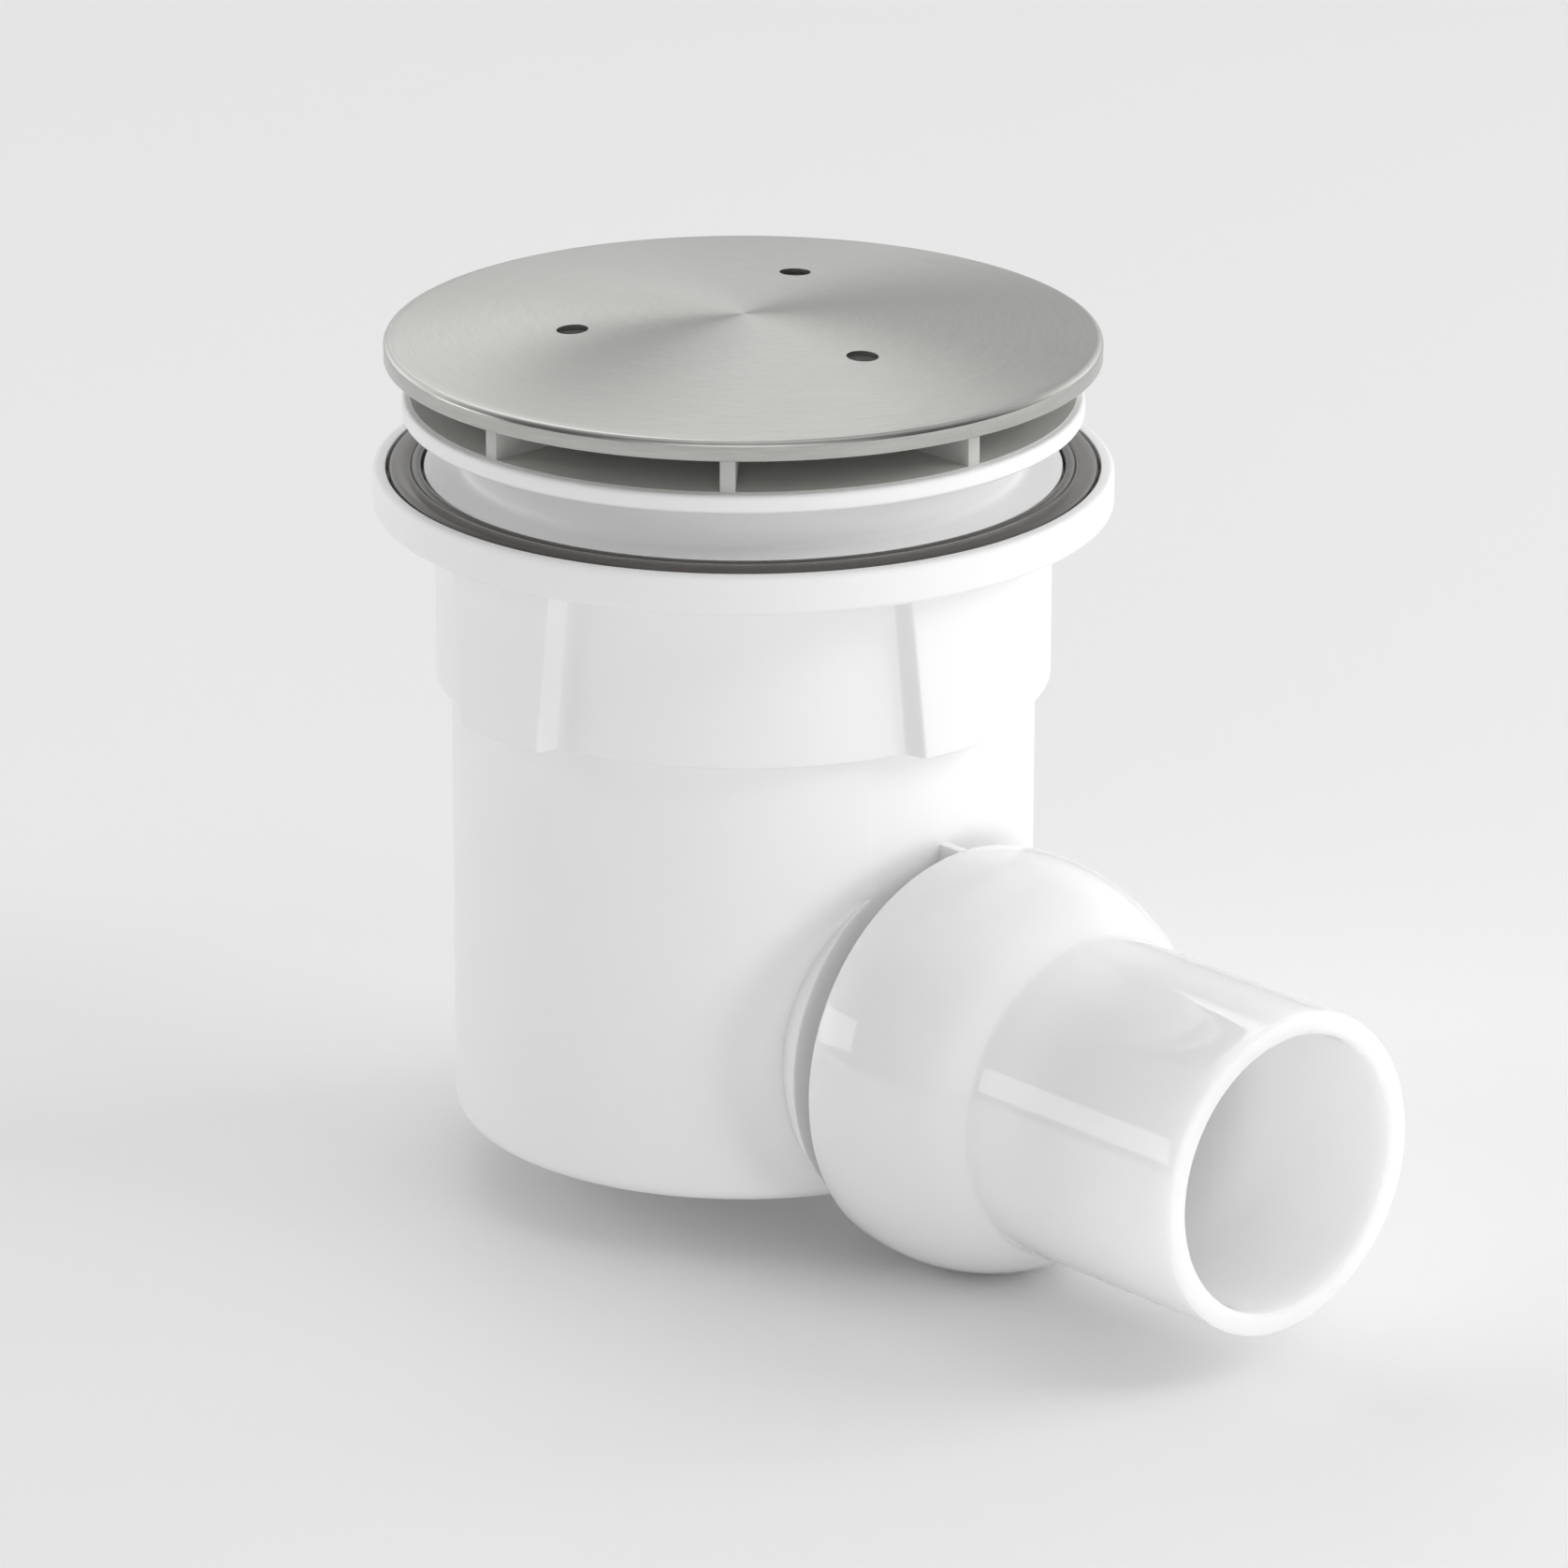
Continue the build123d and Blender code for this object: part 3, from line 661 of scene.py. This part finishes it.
def make_body():
    """Cup with its outlet boss, stub and lug."""
    inner_fillet = 2.2 * MM
    floor = BODY_END + BODY_FLOOR
    outer = [(0, BODY_END)] + arc((BODY_R - BODY_FILLET, BODY_END + BODY_FILLET), BODY_FILLET, -90, 0)
    cup = as_object(spin(outer + [(BODY_R, BODY_TOP), (0, BODY_TOP)], closed=False), "trap_body_white")
    start = math.sqrt(BOSS_BALL ** 2 - (BALL_X - BOSS_FRONT) ** 2)
    low_deg = math.degrees(math.atan2(BOSS_FRONT - BALL_X, start))
    boss = arc((0, BALL_X), BOSS_BALL, -90, low_deg, 48) + [(0, BOSS_FRONT)]
    stub = [(0, BODY_BORE - MM), (STUB_R, BODY_BORE - MM), (STUB_R, STUB_END), (0, STUB_END)]
    lug = block((BODY_BORE, -LUG_W / 2, OUTLET_Z + LUG_TOP - LUG_H),
                (BALL_RIM - 0.1 * MM, LUG_W / 2, OUTLET_Z + LUG_TOP), 0.15 * MM)
    boss_mesh = soften(spin(boss, "outlet", closed=False), at_ring(start, BOSS_FRONT, "outlet"), 0.45 * MM)
    joined = [as_object(boss_mesh, "tool"), as_object(spin(stub, "outlet", closed=False), "tool"),
              as_object(lug, "tool")]
    combine(cup, joined, "UNION")
    hollow = [(0, floor)] + arc((BODY_BORE - inner_fillet, floor + inner_fillet), inner_fillet, -90, 0)
    hollow = spin(hollow + [(BODY_BORE, BODY_TOP + MM), (0, BODY_TOP + MM)], closed=False)
    bore = [(0, BALL_X / 2), (STUB_BORE, BALL_X / 2), (STUB_BORE, STUB_END + MM), (0, STUB_END + MM)]
    cuts = [as_object(hollow, "tool"), as_object(spin(bore, "outlet", closed=False), "tool")]
    combine(cup, cuts, "DIFFERENCE")
    finish_piece(cup, WHITE, "white_satin_plastic", "trap_body")


def make_connector():
    """Ball-shaped cap that runs into the spigot, with the socket inside."""
    inner_ball = BALL_R - BALL_WALL
    back = math.degrees(math.asin((BALL_RIM - BALL_X) / BALL_R))
    front = math.degrees(math.acos(SPIGOT_R / BALL_R))
    inner_back = math.degrees(math.asin((BALL_RIM - BALL_X) / inner_ball))
    inner_front = math.degrees(math.acos(SOCKET_OUT / inner_ball))
    outline = arc((0, BALL_X), BALL_R, back, front, 40)
    crease = outline[-1]
    outline += [(SPIGOT_R, SPIGOT_END), (SPIGOT_BORE, SPIGOT_END), (SPIGOT_BORE, SOCKET_END + SOCKET_CONE),
                (SOCKET_R, SOCKET_END), (SOCKET_R, SOCKET_MOUTH), (SOCKET_OUT, SOCKET_MOUTH)]
    outline += arc((0, BALL_X), inner_ball, inner_front, inner_back, 24)
    mesh = spin(outline, "outlet", gap=BALL_NECK + BRACE / 2)
    soften(mesh, at_ring(crease[0], crease[1], "outlet"), BALL_NECK, 8)
    soften(mesh, at_ring(SPIGOT_R, SPIGOT_END, "outlet"), 0.7 * MM, 6)
    soften(mesh, at_ring(SPIGOT_BORE, SPIGOT_END, "outlet"), 0.7 * MM, 6)
    soften(mesh, at_ring(outline[0][0], outline[0][1], "outlet"), 0.4 * MM)
    finish_piece(as_object(mesh, "outlet_connector_gloss"), GLOSS, "white_gloss_plastic", "outlet_connector")


def dress_nodes():
    """Materials of the CAD nodes that stay."""
    finishes = {"hair_strainer": INSERT, "dip_tube": INSERT, "siphon_cup": INSERT, "cover_grip_ring": RUBBER,
                "dip_tube_o_ring": RUBBER, "body_gasket": RUBBER, "outlet_o_ring": RUBBER}
    for name, material in finishes.items():
        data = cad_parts[name].data
        data.materials.clear()
        data.materials.append(material)


# Studio
def make_floor():
    """Wide pale floor."""
    mesh = bmesh.new()
    bmesh.ops.create_circle(mesh, cap_ends=True, segments=96, radius=8.0)
    bmesh.ops.translate(mesh, vec=(0, 0, FLOOR_Z), verts=mesh.verts)
    floor = as_object(mesh, "floor")
    material, tree, shader = new_material("studio_floor")
    shader.inputs["Base Color"].default_value = (0.88, 0.88, 0.88, 1)
    shader.inputs["Roughness"].default_value = 0.9
    shader.inputs["Specular IOR Level"].default_value = 0.2
    floor.data.materials.append(material)


def toward(bearing_deg, height_deg):
    """Direction from the trap; bearings turn from the camera's side to its right."""
    bearing = CAMERA_AZIMUTH + math.radians(bearing_deg)
    height = math.radians(height_deg)
    return Vector((math.sin(bearing) * math.cos(height), -math.cos(bearing) * math.cos(height), math.sin(height)))


def add_softbox(name, bearing_deg, height_deg, away, width, tall, power, lean_deg=0.0, aim=(0, 0, -45 * MM)):
    """Area lamp that points at the trap, leaned about its own axis."""
    data = bpy.data.lights.new(name, "AREA")
    data.shape = "RECTANGLE"
    data.size = width
    data.size_y = tall
    data.energy = power
    lamp = bpy.data.objects.new(name, data)
    bpy.context.scene.collection.objects.link(lamp)
    direction = toward(bearing_deg, height_deg)
    lamp.location = Vector(aim) + direction * away
    facing = direction.to_track_quat("Z", "Y").to_matrix()
    lamp.rotation_euler = (facing @ Matrix.Rotation(math.radians(lean_deg), 3, "Z")).to_euler()
    return lamp


def make_world(glows, even):
    """Studio walls: an even light, and soft glows given by bearing, height, spread in degrees and strength."""
    world = bpy.data.worlds.new("studio")
    world.use_nodes = True
    tree = world.node_tree
    place = node(tree, "ShaderNodeTexCoord")
    total = None
    for bearing, height, spread, strength in glows:
        near = node(tree, "ShaderNodeVectorMath", operation="DOT_PRODUCT")
        near.inputs[1].default_value = toward(bearing, height)
        tree.links.new(place.outputs["Generated"], near.inputs[0])
        steep = math.log(2) / (1 - math.cos(math.radians(spread)))
        fall = maths(tree, "MULTIPLY", maths(tree, "SUBTRACT", near.outputs["Value"], 1.0), steep)
        glow = maths(tree, "MULTIPLY", maths(tree, "EXPONENT", fall), strength)
        total = glow if total is None else maths(tree, "ADD", total, glow)
    back = tree.nodes["Background"]
    back.inputs["Color"].default_value = (1, 1, 1, 1)
    tree.links.new(maths(tree, "ADD", total, even), back.inputs["Strength"])
    bpy.context.scene.world = world


def make_studio():
    """Floor, surround and lamps."""
    make_floor()
    make_world([(0, 8, 28, 1.4), (0, 90, 28, 0.8), (-135, 8, 28, 1.49), (135, 8, 28, 1.49), (90, 66, 28, 0.1),
                (180, 24, 16, 0.34)], 0.02)
    for bearing, height, power in ((75, 30, 7.0), (100, 12, 5.0), (100, 30, 4.0), (50, 50, 2.8), (-95, 25, 4.6)):
        key = add_softbox("key", bearing, height, 2.0, 0.7, 0.7, power)
        key.visible_glossy = False
    add_softbox("left_box", -95.5, 7, 1.2, 0.58, 0.28, 0.75, lean_deg=15)
    add_softbox("back_box", -158, 48, 2.0, 1.2, 0.9, 2.0)
    add_softbox("cover_streak", -170, 40, 2.0, 0.35, 1.3, 1.0)
    fill = add_softbox("mouth_fill", 42.4, 4, 0.37, 0.1, 0.1, 0.037, aim=(SPIGOT_END, 0, OUTLET_Z))
    fill.data.spread = math.radians(60)
    fill.visible_glossy = False
    bpy.context.scene.view_settings.view_transform = "Standard"


make_cover()
make_carrier()
make_sleeve()
make_seal()
make_collar()
make_body()
make_connector()
dress_nodes()
make_studio()
